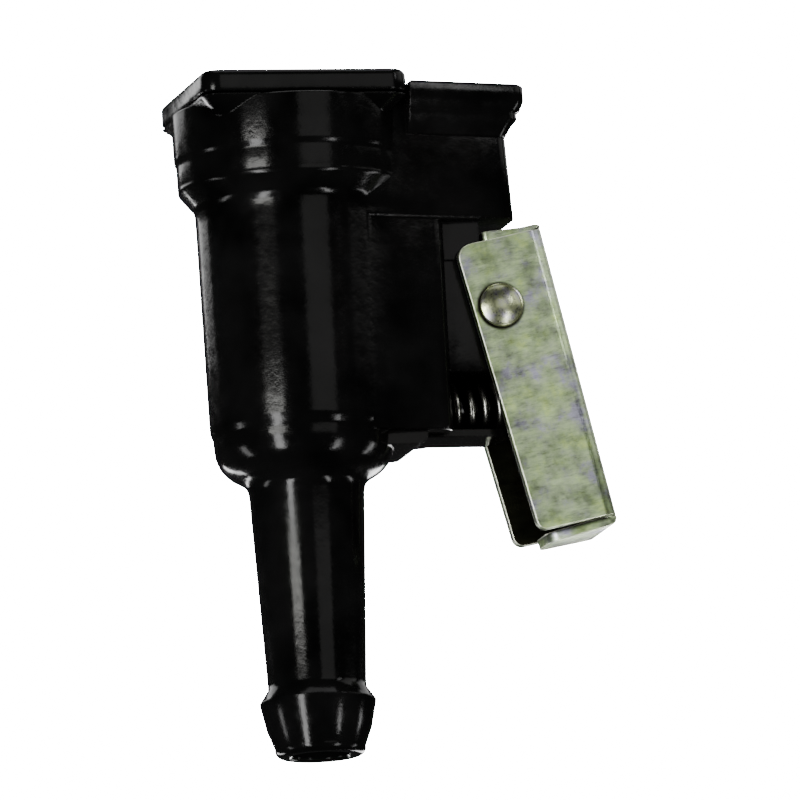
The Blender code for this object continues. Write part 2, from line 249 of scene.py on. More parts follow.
def zincSheet():
    # pressed mild steel with yellow-passivated zinc: grey-green with violet-grey clouds, faint scuffs across the
    # sheet, painted shade inside the channel
    made, tree, shader, place = startMaterial("passivated_zinc_sheet", Metallic=1.0)
    along = addNode(tree, "ShaderNodeMapping", {"vector_type": "TEXTURE"},
                    {"Vector": place, "Location": leverTop * mm, "Rotation": (0, -leverTilt, 0)}).outputs["Vector"]
    drawnOut = addNode(tree, "ShaderNodeMapping", {}, {"Vector": along, "Scale": (0.25, 0.25, 1)}).outputs["Vector"]
    blotch = addNode(tree, "ShaderNodeTexNoise", {}, {"Vector": along, "Scale": 1 / (2.6 * mm), "Detail": 5,
                                                      "Roughness": 0.65}).outputs["Fac"]
    cloud = addNode(tree, "ShaderNodeTexNoise", {}, {"Vector": along, "Scale": 1 / (1.9 * mm), "Detail": 4,
                                                     "Roughness": 0.55}).outputs["Fac"]
    scuff = addNode(tree, "ShaderNodeTexNoise", {}, {"Vector": drawnOut, "Scale": 1 / (0.3 * mm), "Detail": 5,
                                                     "Roughness": 0.7}).outputs["Fac"]
    haze = addNode(tree, "ShaderNodeTexNoise", {}, {"Vector": drawnOut, "Scale": 1 / (0.8 * mm), "Detail": 3,
                                                    "Roughness": 0.55}).outputs["Fac"]
    cast = addNode(tree, "ShaderNodeValToRGB", {"stops": [(0.35, "#82828e"), (0.45, "#88947a"), (0.56, "#8c9d76"),
                                                          (0.68, "#97aa6c")]}, {"Fac": blotch}).outputs["Color"]
    patches = addNode(tree, "ShaderNodeValToRGB", {"stops": [(0.32, "#949494"), (0.5, "#e2e2e2"), (0.66, "#ffffff")]},
                      {"Fac": cloud}).outputs["Color"]
    worn = addNode(tree, "ShaderNodeValToRGB", {"stops": [(0.33, "#6c6c6c"), (0.45, "#d4d4d4"), (0.6, "#ffffff")]},
                   {"Fac": scuff}).outputs["Color"]
    colour = addNode(tree, "ShaderNodeMix", {"data_type": "RGBA", "blend_type": "MULTIPLY"},
                     {0: 0.85, 6: cast, 7: patches}).outputs[2]
    colour = addNode(tree, "ShaderNodeMix", {"data_type": "RGBA", "blend_type": "MULTIPLY"},
                     {0: 0.55, 6: colour, 7: worn}).outputs[2]
    local = addNode(tree, "ShaderNodeSeparateXYZ", {}, {"Vector": along}).outputs
    across = addNode(tree, "ShaderNodeMath", {"operation": "ABSOLUTE"}, {0: local["Y"]}).outputs[0]
    # painted shade: the inside faces of the channel are darkened nearly to black, where shade falls between the
    # flanges
    paintedChannelShade = None
    for value, start, stop in ((across, 4.95, 4.7), (local["X"], -0.65, -0.95), (local["Z"], -0.5, -0.9),
                               (local["Z"], -30.6, -30.2)):
        edge = addNode(tree, "ShaderNodeMapRange", {}, {"Value": value, "From Min": start * mm,
                                                        "From Max": stop * mm}).outputs["Result"]
        paintedChannelShade = edge if paintedChannelShade is None else addNode(tree, "ShaderNodeMath", {"operation": "MULTIPLY"},
                                                     {0: paintedChannelShade, 1: edge}).outputs[0]
    colour = addNode(tree, "ShaderNodeMix", {"data_type": "RGBA"},
                     {0: paintedChannelShade, 6: colour, 7: linear("#17170f")}).outputs[2]
    # painted shadow: a dark ring on the sheet just round the rivet head
    fromRivet = addNode(tree, "ShaderNodeVectorMath", {"operation": "SUBTRACT"}, {0: place, 1: pivot * mm})
    flat = addNode(tree, "ShaderNodeVectorMath", {"operation": "MULTIPLY"}, {0: fromRivet.outputs[0], 1: (1, 0, 1)})
    reach = addNode(tree, "ShaderNodeVectorMath", {"operation": "LENGTH"}, {0: flat.outputs[0]}).outputs["Value"]
    paintedRivetShadow = addNode(tree, "ShaderNodeMapRange", {}, {"Value": reach, "From Min": 2.55 * mm, "From Max": 2.3 * mm})
    colour = addNode(tree, "ShaderNodeMix", {"data_type": "RGBA"},
                     {0: paintedRivetShadow.outputs["Result"], 6: colour, 7: linear("#1c1c14")}).outputs[2]
    matt = addNode(tree, "ShaderNodeValToRGB", {"stops": [(0.3, 0.36), (0.7, 0.5)]}, {"Fac": haze}).outputs["Color"]
    drawn = addNode(tree, "ShaderNodeMapRange", {}, {"Value": local["X"], "From Min": -1.7 * mm,
                                                     "From Max": -1.3 * mm}).outputs["Result"]
    gloss = addNode(tree, "ShaderNodeMix", {"data_type": "RGBA"},
                    {0: drawn, 6: matt, 7: (0.28, 0.28, 0.28, 1)}).outputs[2]
    tree.links.new(gloss, shader.inputs["Roughness"])
    soft = addNode(tree, "ShaderNodeBevel", {"samples": 6}, {"Radius": 0.2 * mm}).outputs["Normal"]
    facing = addNode(tree, "ShaderNodeNewGeometry").outputs["True Normal"]
    bend = addNode(tree, "ShaderNodeVectorMath", {"operation": "DOT_PRODUCT"}, {0: soft, 1: facing}).outputs["Value"]
    edge = addNode(tree, "ShaderNodeMapRange", {}, {"Value": bend, "From Min": 0.985,
                                                    "From Max": 0.9}).outputs["Result"]
    # rounded edges lighter in patches: partly plating worn bare, partly a painted edge highlight
    wornEdgeAndPaintedHighlight = addNode(tree, "ShaderNodeMath", {"operation": "MULTIPLY"}, {0: edge, 1: scuff}).outputs[0]
    colour = addNode(tree, "ShaderNodeMix", {"data_type": "RGBA"},
                     {0: wornEdgeAndPaintedHighlight, 6: colour, 7: linear("#d9dcc8")}).outputs[2]
    tree.links.new(colour, shader.inputs["Base Color"])
    plated = addNode(tree, "ShaderNodeMath", {"operation": "MULTIPLY_ADD"}, {0: wornEdgeAndPaintedHighlight, 1: -0.25, 2: 1.0}).outputs[0]
    tree.links.new(plated, shader.inputs["Metallic"])
    dents = addNode(tree, "ShaderNodeBump", {}, {"Height": blotch, "Distance": 0.04 * mm, "Strength": 0.5,
                                                 "Normal": soft}).outputs["Normal"]
    scratches = addNode(tree, "ShaderNodeBump", {}, {"Height": scuff, "Distance": 0.007 * mm, "Strength": 0.6,
                                                     "Normal": dents}).outputs["Normal"]
    tree.links.new(scratches, shader.inputs["Normal"])
    return made


def brightSteel():
    # cold headed rivet steel, zinc plated: smoother than the sheet, grey-green, clouded by handling
    made, tree, shader, place = startMaterial("headed_rivet_steel", Metallic=1.0)
    patch = addNode(tree, "ShaderNodeTexNoise", {}, {"Vector": place, "Scale": 1 / (1.2 * mm), "Detail": 4,
                                                     "Roughness": 0.55}).outputs["Fac"]
    fine = addNode(tree, "ShaderNodeTexNoise", {}, {"Vector": place, "Scale": 1 / (0.2 * mm), "Detail": 2,
                                                    "Roughness": 0.55}).outputs["Fac"]
    shade = addNode(tree, "ShaderNodeValToRGB", {"stops": [(0.35, "#6c6a70"), (0.5, "#73785f"), (0.68, "#8e9372")]},
                    {"Fac": patch})
    tree.links.new(shade.outputs["Color"], shader.inputs["Base Color"])
    gloss = addNode(tree, "ShaderNodeValToRGB", {"stops": [(0.3, 0.26), (0.7, 0.36)]}, {"Fac": fine})
    tree.links.new(gloss.outputs["Color"], shader.inputs["Roughness"])
    dents = addNode(tree, "ShaderNodeBump", {}, {"Height": patch, "Distance": 0.02 * mm, "Strength": 0.5})
    tree.links.new(dents.outputs["Normal"], shader.inputs["Normal"])
    return made


def springWire():
    # drawn music wire, oiled: dark grey, sharp glints along each turn
    made, tree, shader, place = startMaterial("drawn_spring_wire", Metallic=1.0)
    patch = addNode(tree, "ShaderNodeTexNoise", {}, {"Vector": place, "Scale": 1 / (0.8 * mm), "Detail": 3,
                                                     "Roughness": 0.55}).outputs["Fac"]
    fine = addNode(tree, "ShaderNodeTexNoise", {}, {"Vector": place, "Scale": 1 / (0.1 * mm), "Detail": 2,
                                                    "Roughness": 0.55}).outputs["Fac"]
    shade = addNode(tree, "ShaderNodeValToRGB", {"stops": [(0.3, "#4a4a48"), (0.7, "#777772")]}, {"Fac": patch})
    tree.links.new(shade.outputs["Color"], shader.inputs["Base Color"])
    gloss = addNode(tree, "ShaderNodeValToRGB", {"stops": [(0.3, 0.2), (0.7, 0.32)]}, {"Fac": fine})
    tree.links.new(gloss.outputs["Color"], shader.inputs["Roughness"])
    lines = addNode(tree, "ShaderNodeBump", {}, {"Height": fine, "Distance": 0.004 * mm, "Strength": 0.4})
    tree.links.new(lines.outputs["Normal"], shader.inputs["Normal"])
    return made


def nitrile():
    # moulded nitrile rubber: charcoal black, dull, a faint bloom of grey
    made, tree, shader, place = startMaterial("moulded_nitrile_rubber", IOR=1.5, Specular_IOR_Level=0.4)
    bloom = addNode(tree, "ShaderNodeTexNoise", {}, {"Vector": place, "Scale": 1 / (1.6 * mm), "Detail": 4,
                                                     "Roughness": 0.55}).outputs["Fac"]
    pore = addNode(tree, "ShaderNodeTexNoise", {}, {"Vector": place, "Scale": 1 / (0.12 * mm), "Detail": 2,
                                                    "Roughness": 0.55}).outputs["Fac"]
    shade = addNode(tree, "ShaderNodeValToRGB", {"stops": [(0.3, "#101010"), (0.75, "#1e1e1d")]}, {"Fac": bloom})
    tree.links.new(shade.outputs["Color"], shader.inputs["Base Color"])
    dull = addNode(tree, "ShaderNodeValToRGB", {"stops": [(0.3, 0.5), (0.7, 0.68)]}, {"Fac": pore})
    tree.links.new(dull.outputs["Color"], shader.inputs["Roughness"])
    skin = addNode(tree, "ShaderNodeBump", {}, {"Height": pore, "Distance": 0.01 * mm, "Strength": 0.5})
    tree.links.new(skin.outputs["Normal"], shader.inputs["Normal"])
    return made


def acetal():
    # turned natural acetal: waxy off-white, slight depth, faint tool rings
    made, tree, shader, place = startMaterial("turned_natural_acetal", IOR=1.48, Subsurface_Weight=0.15,
                                              Subsurface_Scale=0.0008)
    cloud = addNode(tree, "ShaderNodeTexNoise", {}, {"Vector": place, "Scale": 1 / (2.5 * mm), "Detail": 3,
                                                     "Roughness": 0.55}).outputs["Fac"]
    rings = addNode(tree, "ShaderNodeTexWave", {"wave_type": "RINGS", "rings_direction": "Z"},
                    {"Vector": place, "Scale": 1 / (2.2 * mm), "Distortion": 0.6, "Detail": 1.0}).outputs["Fac"]
    shade = addNode(tree, "ShaderNodeValToRGB", {"stops": [(0.3, "#d9d5c6"), (0.7, "#e6e2d5")]}, {"Fac": cloud})
    tree.links.new(shade.outputs["Color"], shader.inputs["Base Color"])
    waxy = addNode(tree, "ShaderNodeValToRGB", {"stops": [(0.3, 0.34), (0.7, 0.46)]}, {"Fac": cloud})
    tree.links.new(waxy.outputs["Color"], shader.inputs["Roughness"])
    tooled = addNode(tree, "ShaderNodeBump", {}, {"Height": rings, "Distance": 0.008 * mm, "Strength": 0.4})
    tree.links.new(tooled.outputs["Normal"], shader.inputs["Normal"])
    return made


def turnedBrass():
    # free-cutting brass straight off the lathe: warm yellow, fine circular tool marks
    made, tree, shader, place = startMaterial("turned_brass", Metallic=1.0)
    stain = addNode(tree, "ShaderNodeTexNoise", {}, {"Vector": place, "Scale": 1 / (1.8 * mm), "Detail": 4,
                                                     "Roughness": 0.55}).outputs["Fac"]
    rings = addNode(tree, "ShaderNodeTexWave", {"wave_type": "RINGS", "rings_direction": "Z"},
                    {"Vector": place, "Scale": 1 / (1.4 * mm), "Distortion": 0.4, "Detail": 1.0}).outputs["Fac"]
    shade = addNode(tree, "ShaderNodeValToRGB", {"stops": [(0.3, "#b98f4a"), (0.7, "#d8b468")]}, {"Fac": stain})
    tree.links.new(shade.outputs["Color"], shader.inputs["Base Color"])
    gloss = addNode(tree, "ShaderNodeValToRGB", {"stops": [(0.3, 0.24), (0.7, 0.36)]}, {"Fac": stain})
    tree.links.new(gloss.outputs["Color"], shader.inputs["Roughness"])
    tooled = addNode(tree, "ShaderNodeBump", {}, {"Height": rings, "Distance": 0.006 * mm, "Strength": 0.4})
    tree.links.new(tooled.outputs["Normal"], shader.inputs["Normal"])
    return made


nylon, zinc, steel, wire = mouldedNylon(), zincSheet(), brightSteel(), springWire()
rubber, plastic, brass = nitrile(), acetal(), turnedBrass()
print("materials made")


# socket cap: the square plate at the mating face

cap = {"left": capLow[0] / mm, "right": capHigh[0] / mm, "half": capHigh[1] / mm, "thick": 2.2,
       "corner": 1.9, "edge": 0.7, "spigot": 8.2, "spigotEnd": -4.6, "socket": 4.7, "leadIn": 1.0}


def makeCap():
    plate = block("socketCap", (cap["left"], -cap["half"], -cap["thick"]), (cap["right"], cap["half"], 0))
    roundEdges(plate, cap["corner"], 10, lambda a, b: abs(a.z - b.z) > 1)
    roundEdges(plate, cap["edge"], 6, lambda a, b: a.z > -0.01 and b.z > -0.01)
    roundEdges(plate, 0.18, 3, lambda a, b: a.z < -cap["thick"] + 0.01 and b.z < -cap["thick"] + 0.01)
    spigot = turn("spigot", [(cap["spigot"], -1.5), (cap["spigot"], cap["spigotEnd"] + 0.3),
                             (cap["spigot"] - 0.3, cap["spigotEnd"])], 128)
    r = cap["socket"]
    socket = turn("socketBore", [(r + cap["leadIn"] + 0.4, 0.5), (r + cap["leadIn"] + 0.4, 0.001)]
                  + bow(r + cap["leadIn"] + 0.25, -cap["leadIn"], cap["leadIn"], 90, 172, 10)
                  + [(r, -cap["leadIn"] - 0.1), (r, -6)], 128)
    # shallow ring moulded round the socket, where the motor's fitting seats
    groove = turn("seatRing", [(7.6, 0.3), (7.6, -0.12), (7.2, -0.12), (7.2, 0.3)], 128, loop=True)
    fuse(plate, [spigot], "UNION")
    fuse(plate, [socket, groove], "DIFFERENCE")
    return plate


settle(makeCap(), "connector", "socket_cap", nylon)
print("socket cap made")


# connector body

body = {"top": -2.5, "collarR": 11.6, "collarFoot": 11.35, "barrelR": 9.65,
        "tailR": 5.79, "tailTip": 4.88, "barbR": 5.8, "boreR": 2.9, "counterR": 8.5, "ledge": -13.3,
        "chamberR": 6.8, "chamberEnd": -31.9, "guideX": 15.5, "guideR": 3.5, "guideEnd": -20.5,
        "lobeX": 21.6, "rimX": bodyHigh[0] / mm, "rimTop": bodyHigh[2] / mm, "seatX": 14.3, "lobeEnd": -35.9,
        "earHalf": 4.0, "neckHalf": 4.3, "springZ": -32.7}     # the neck passes between the lever's flanges


# half depth of the guide lobe, which narrows away from the barrel.
def lobeHalf(x):
    return 7.0 - (x - 9.0) * 0.19


# one block of the guide lobe: tapered in plan, upright corners rounded.
def makeLobe(name, right, rightFoot, top, foot, corner, slim=0.0):
    lobe = block(name, (4, -lobeHalf(4) + slim, foot), (right, lobeHalf(4) - slim, top))
    selectParts(lobe, "FACE", lambda centre, normal: normal.x > 0.9)
    ratio = (lobeHalf(right) - slim) / (lobeHalf(4) - slim)
    bpy.ops.transform.resize(value=(1, ratio, 1), center_override=(right * mm, 0, (top + foot) / 2 * mm))
    bpy.ops.object.mode_set(mode="OBJECT")
    selectParts(lobe, "VERT", lambda p: p.x > right - 0.1 and p.z < foot + 0.1)
    bpy.ops.transform.translate(value=((rightFoot - right) * mm, 0, 0))
    bpy.ops.object.mode_set(mode="OBJECT")
    roundEdges(lobe, corner, 8, lambda a, b: min(a.x, b.x) > right - 1 and abs(a.z - b.z) > 1)
    roundEdges(lobe, 0.3, 3, lambda a, b: max(a.z, b.z) < foot + 0.01)
    return lobe


# rim round the guide pin hole: tapered in plan, its underside drawn in to the lobe in steps.
def makeRim():
    root, right, top = cap["right"] + 0.3, body["rimX"], body["rimTop"]
    rim = block("guideRim", (root, -9.0, -2.6), (right, 9.0, top))
    selectParts(rim, "FACE", lambda centre, normal: normal.x > 0.9)
    bpy.ops.transform.resize(value=(1, 6.1 / 9.0, 1), center_override=(right * mm, 0, 0))
    bpy.ops.object.mode_set(mode="OBJECT")
    roundEdges(rim, 1.4, 8, lambda a, b: min(a.x, b.x) > right - 1 and abs(a.z - b.z) > 1)
    selectParts(rim, "FACE", lambda centre, normal: normal.z < -0.9)
    z, lastReach, lastNarrow = -2.6, 0, 0
    for nextZ, reach, narrow in ((-3.6, 0.4, 0.4), (-3.8, 0.75, 0.55), (-4.4, 0.7, 0.6), (-5.1, 1.3, 1.1),
                                 (-6.1, 1.85, 1.8)):
        wide = right - root
        bpy.ops.mesh.extrude_region_move(TRANSFORM_OT_translate={"value": (0, 0, (nextZ - z) * mm)})
        target = (wide - reach) / (wide - lastReach)
        flat = (9.0 - narrow) / (9.0 - lastNarrow)
        bpy.ops.transform.resize(value=(target, flat, 1), center_override=(root * mm, 0, nextZ * mm))
        z, lastReach, lastNarrow = nextZ, reach, narrow
    bpy.ops.object.mode_set(mode="OBJECT")
    roundEdges(rim, 0.3, 4, lambda a, b: min(a.z, b.z) > top - 0.01)
    return rim


def makeBody():
    top = body["top"]
    outline = [(body["collarR"] - 0.15, top), (body["collarR"], top - 0.15), (11.48, -7.1), (11.45, -7.3)]
    outline += [(11.36, -7.5), (11.3, -7.75), (11.29, -8.0), (11.26, -9.9)]
    outline += bow(body["collarFoot"] - 0.7, -10.2, 0.6, 15, -40, 4)
    outline += [(9.95, -12.0), (9.78, -12.25), (9.68, -12.8), (body["barrelR"], -14.0), (9.56, -20.0),
                (9.43, -28.0), (9.34, -34.3), (9.3, -34.75), (9.2, -35.1), (9.08, -35.4), (9.04, -35.7),
                (9.02, -36.2), (8.98, -36.7), (8.9, -37.25), (8.74, -37.75), (8.45, -38.4),
                (8.0, -38.95), (7.5, -39.4), (6.9, -39.75), (6.4, -40.05), (6.05, -40.4), (5.86, -40.8),
                (body["tailR"] - 0.02, -41.3), (5.38, -50.0), (body["tailTip"] + 0.03, -60.6),
                (body["tailTip"] + 0.06, -61.0), (body["barbR"] - 0.15, -62.05), (body["barbR"], -62.25),
                (body["barbR"] - 0.02, -62.55), (5.25, -65.0)]
    outline += bow(3.8, tailEnd + 0.75, 0.75, 12, -90, 8)
    shell = turn("connectorBody", outline, 160)

    # square shoulders under the cap, drawn in to the round collar
    gusset = block("gusset", (cap["left"], -cap["half"], top - 0.05), (cap["right"], cap["half"], top))
    roundEdges(gusset, cap["corner"], 8, lambda a, b: abs(a.x - b.x) < 0.01 and abs(a.y - b.y) < 0.01)
    selectParts(gusset, "FACE", lambda centre, normal: normal.z < -0.9)
    bpy.ops.mesh.extrude_region_move(TRANSFORM_OT_translate={"value": (0, 0, -1.9 * mm)})
    bpy.ops.transform.resize(value=(0.8, 0.8, 1), center_override=(0, 0, 0))
    bpy.ops.object.mode_set(mode="OBJECT")

    upper = makeLobe("upperLobe", body["lobeX"] - 0.3, body["lobeX"] + 0.3, top - 0.6, -14.6, 1.3)
    lower = makeLobe("lowerLobe", body["seatX"], body["seatX"], -14.0, body["lobeEnd"], 1.5, 0.25)
    rim = makeRim()
    ears = block("ears", (12.1, -body["earHalf"], -29.8), (22.8, body["earHalf"], -17.5))
    roundEdges(ears, 2.2, 8, lambda a, b: min(a.x, b.x) > 22 and max(a.z, b.z) < -29)
    roundEdges(ears, 1.6, 6, lambda a, b: min(a.x, b.x) > 22 and min(a.z, b.z) > -18)
    roundEdges(ears, 0.3, 3, lambda a, b: abs(a.y) > 3.9 and abs(a.y - b.y) < 0.01 and max(a.x, b.x) > 12.2)
    neck = block("neck", (12.1, -body["neckHalf"], -18.5), (18.05, body["neckHalf"], -14.0))
    shelf = block("springShelf", (12, -2.6, body["lobeEnd"] - 0.25), (20.8, 2.6, body["lobeEnd"] + 0.55))
    roundEdges(shelf, 1.2, 6, lambda a, b: min(a.x, b.x) > 20 and abs(a.z - b.z) > 0.1)
    backWall = block("springWall", (12, 2.75, body["lobeEnd"] - 0.2), (19.6, 3.75, -29.6))
    foot = block("lobeFoot", (4, -5.2, -37.3), (11.6, 5.2, -35.2))
    roundEdges(foot, 1.3, 5, lambda a, b: min(a.x, b.x) > 11 and max(a.z, b.z) < -37)
    fuse(shell, [foot, gusset, upper, lower, rim, ears, neck, shelf, backWall], "UNION")

    r = body["boreR"]
    flow = turn("flowPath", [(body["counterR"], 1), (body["counterR"], body["ledge"]),
                             (body["chamberR"], body["ledge"]), (body["chamberR"], body["chamberEnd"]),
                             (5.2, body["chamberEnd"]), (5.2, -34.0), (r, -38.5), (r, tailEnd + 0.25),
                             (r + 0.35, tailEnd - 0.1)], 96)
    g = body["guideR"]
    guide = turn("guideHole", [(g + 1.4, 0.0)] + bow(g + 1.4, -1.95, 1.3, 100, 170, 8)
                 + [(g, -2.2), (g, body["guideEnd"] + 0.8), (g - 0.8, body["guideEnd"])], 96)
    lay(guide, (body["guideX"], 0, 0))
    window = block("toothWindow", (18.1, -6.5, -17.5), (26.0, 6.5, -14.4))
    hole = turn("pivotHole", [(1.8, -9), (1.8, 9)], 64)
    lay(hole, pivot, (math.pi / 2, 0, 0))
    pocket = turn("springPocket", [(2.85, body["seatX"] - 1.4), (2.85, body["seatX"] + 0.6)], 64)
    lay(pocket, (0, 0, body["springZ"]), (0, math.pi / 2, 0))
    fuse(shell, [flow, guide, window, hole, pocket], "DIFFERENCE")

    peg = turn("springPeg", [(1.45, body["seatX"] - 3), (1.45, 20.0), (1.3, 20.3), (1.0, 20.4)], 48)
    lay(peg, (0, 0, body["springZ"]), (0, math.pi / 2, 0))
    # flash line of the mould, down the barrel's left side and the tail
    seam = block("flashLine", (-body["barrelR"] - 0.03, -0.09, -35.0), (-body["barrelR"] + 0.7, 0.09, -13.5))
    selectParts(seam, "VERT", lambda p: p.z < -34)
    bpy.ops.transform.translate(value=(0.34 * mm, 0, 0))
    bpy.ops.object.mode_set(mode="OBJECT")
    fuse(shell, [peg, seam], "UNION")
    return shell


settle(makeBody(), "connector", "connector_body", nylon)
print("connector body made")


# latch lever: a pressed channel, modelled upright from flat sheet and then tilted into place

lever = {"thick": 1.0, "half": leverHigh[1] / mm, "flangeTop": -0.47, "flangeFoot": -30.15,
         "depthTop": 9.35, "depthFoot": 8.45, "bend": 1.6, "cornerTop": 1.5, "cornerFoot": 1.0,
         "stripHalf": 4.3, "latchTop": 0.17, "latchReach": 5.95, "latchRise": 0.4, "latchBend": 0.75,
         "tabFoot": -31.1, "tabReach": 6.9, "tabDrop": 0.1, "tabBend": 0.85, "tabHalf": 4.2, "tabTip": 2.6}


# the web's outer face starts in the plane x = 0 with its top near z = 0, and the flanges go towards -x
def makeLever():
    half, upper, lower = lever["half"], lever["flangeTop"], lever["flangeFoot"]
    clearSelection()
    bpy.ops.mesh.primitive_plane_add(size=1, location=(0, 0, (upper + lower) / 2 * mm), rotation=(0, math.pi / 2, 0))
    sheet = bpy.context.object
    sheet.name = "latchLever"
    sheet.scale = ((upper - lower) * mm, 2 * half * mm, 1)
    bpy.ops.object.transform_apply(location=True, rotation=True, scale=True)
    for side in (-1, 1):
        selectParts(sheet, "EDGE", lambda a, b: min(a.y * side, b.y * side) > half - 0.01 and a.x > -0.01)
        bpy.ops.mesh.extrude_region_move(TRANSFORM_OT_translate={"value": (-lever["depthFoot"] * mm, 0, 0)})
        bpy.ops.object.mode_set(mode="OBJECT")
    selectParts(sheet, "VERT", lambda p: p.x < -1 and p.z > upper - 0.1)    # the flanges are deeper at the top
    bpy.ops.transform.translate(value=((lever["depthFoot"] - lever["depthTop"]) * mm, 0, 0))
    bpy.ops.object.mode_set(mode="OBJECT")
    for corner, level in (("cornerTop", upper), ("cornerFoot", lower)):
        selectParts(sheet, "VERT", lambda p: p.x < -7 and abs(p.y) > half - 0.01 and abs(p.z - level) < 0.01)
        bpy.ops.mesh.bevel(offset=lever[corner] * mm, segments=8, affect="VERTICES")
        bpy.ops.object.mode_set(mode="OBJECT")
    roundEdges(sheet, lever["bend"], 10, lambda a, b: a.x > -0.01 and b.x > -0.01 and abs(a.y - b.y) < 0.01)

    # web carried on past the flanges, then folded in: the latch plate at the top, the thumb tab at the foot
    straight = half - lever["bend"]
    latchPlate = (upper, lever["latchTop"], lever["latchReach"], lever["latchRise"],
                  lever["stripHalf"], lever["stripHalf"], 0.6, 0.3)
    thumbTab = (lower, lever["tabFoot"], lever["tabReach"], -lever["tabDrop"],
                lever["tabHalf"], lever["tabTip"], 1.0, 0.1)
    for flange, fold, reach, drop, wide, tip, corner, step in (latchPlate, thumbTab):
        level, across = flange, straight
        selectParts(sheet, "EDGE", lambda a, b: abs(a.z - flange) < 0.01 and abs(b.z - flange) < 0.01
                    and a.x > -0.01 and b.x > -0.01)
        for nextLevel in (flange + math.copysign(step, fold - flange), fold):
            bpy.ops.mesh.extrude_region_move(TRANSFORM_OT_translate={"value": (0, 0, (nextLevel - level) * mm)})
            bpy.ops.transform.resize(value=(1, wide / across, 1), center_override=(0, 0, 0))
            level, across = nextLevel, wide
        bpy.ops.mesh.extrude_region_move(TRANSFORM_OT_translate={"value": (-2.0 * mm, 0, 0)})
        bpy.ops.mesh.extrude_region_move(TRANSFORM_OT_translate={"value": ((2.0 - reach) * mm, 0, drop * mm)})
        bpy.ops.transform.resize(value=(1, tip / wide, 1), center_override=(0, 0, 0))
        bpy.ops.object.mode_set(mode="OBJECT")
        selectParts(sheet, "VERT", lambda p: p.x < -reach + 0.01 and abs(p.y) < half - 0.2)
        bpy.ops.mesh.bevel(offset=corner * mm, segments=6, affect="VERTICES")
        bpy.ops.object.mode_set(mode="OBJECT")
    roundEdges(sheet, lever["latchBend"], 6, lambda a, b: min(a.z, b.z) > lever["latchTop"] - 0.01 and a.x > -0.01
               and b.x > -0.01)
    roundEdges(sheet, lever["tabBend"], 6, lambda a, b: max(a.z, b.z) < lever["tabFoot"] + 0.01 and a.x > -0.01
               and b.x > -0.01)
    pick(sheet)
    bpy.ops.object.mode_set(mode="EDIT")
    bpy.ops.mesh.select_all(action="SELECT")
    bpy.ops.mesh.remove_doubles(threshold=0.000001)
    bpy.ops.mesh.normals_make_consistent(inside=False)
    bpy.ops.object.mode_set(mode="OBJECT")
    web = max(sheet.data.polygons, key=lambda face: face.area if abs(face.normal.x) > 0.9 else 0)
    wall = sheet.modifiers.new("sheetThickness", "SOLIDIFY")
    wall.thickness = lever["thick"] * mm
    wall.offset = -1 if web.normal.x > 0 else 1
    wall.use_even_offset = True
    wall.use_flip_normals = web.normal.x < 0
    edge = sheet.modifiers.new("brokenEdges", "BEVEL")
    edge.width = 0.2 * mm
    edge.segments = 3
    edge.limit_method = "ANGLE"
    edge.angle_limit = math.radians(50)
    applyAll(sheet)
    lay(sheet, leverTop, (0, -leverTilt, 0))
    hole = turn("rivetHole", [(1.75, -9), (1.75, 9)], 64)
    lay(hole, pivot, (math.pi / 2, 0, 0))
    fuse(sheet, [hole], "DIFFERENCE")
    return sheet


settle(makeLever(), "latch", "latch_lever", zinc)
print("latch lever made")


# rivet and washer

rivet = {"pinR": 1.5, "headR": 2.2, "headHigh": 0.75, "face": lever["half"] + 0.3, "washer": 0.4, "tailR": 2.0}


# turned along Z with the domed head up, then laid along Y with the dome at -Y.
def makeRivet():
    r, high, face = rivet["headR"], rivet["headHigh"], rivet["face"]
    ball = (r * r + high * high) / (2 * high)
    reach = math.asin((r - 0.12) / ball)
    rings = []
    for k in range(1, 13):
        angle = reach * k / 12
        rings.append((ball * math.sin(angle), face + high - ball + ball * math.cos(angle)))
    tail = -face - rivet["washer"] - 0.3
    rings += [(r, face + 0.2), (r, face + 0.06), (r - 0.06, face), (rivet["pinR"], face), (rivet["pinR"], tail),
              (rivet["tailR"] - 0.1, tail), (rivet["tailR"], tail - 0.12), (rivet["tailR"] - 0.1, tail - 0.35),
              (1.5, tail - 0.6), (0.9, tail - 0.68), (0.75, tail - 0.5), (0.3, tail - 0.44)]
    made = turn("leverRivet", rings, 96)
    lay(made, pivot, (math.pi / 2, 0, 0))
    return made


def makeWasher():
    inner, outer, thick = rivet["pinR"] + 0.3, 2.8, rivet["washer"]
    low, high = -rivet["face"] - thick, -rivet["face"]
    rings = [(inner, high - 0.06), (inner + 0.06, high), (outer - 0.1, high), (outer, high - 0.1),
             (outer, low + 0.1), (outer - 0.1, low), (inner + 0.06, low), (inner, low + 0.06)]
    made = turn("rivetWasher", rings, 96, loop=True)
    lay(made, pivot, (math.pi / 2, 0, 0))
    return made


settle(makeRivet(), "connector", "lever_rivet", steel)
settle(makeWasher(), "connector", "rivet_washer", steel)
print("rivet made")
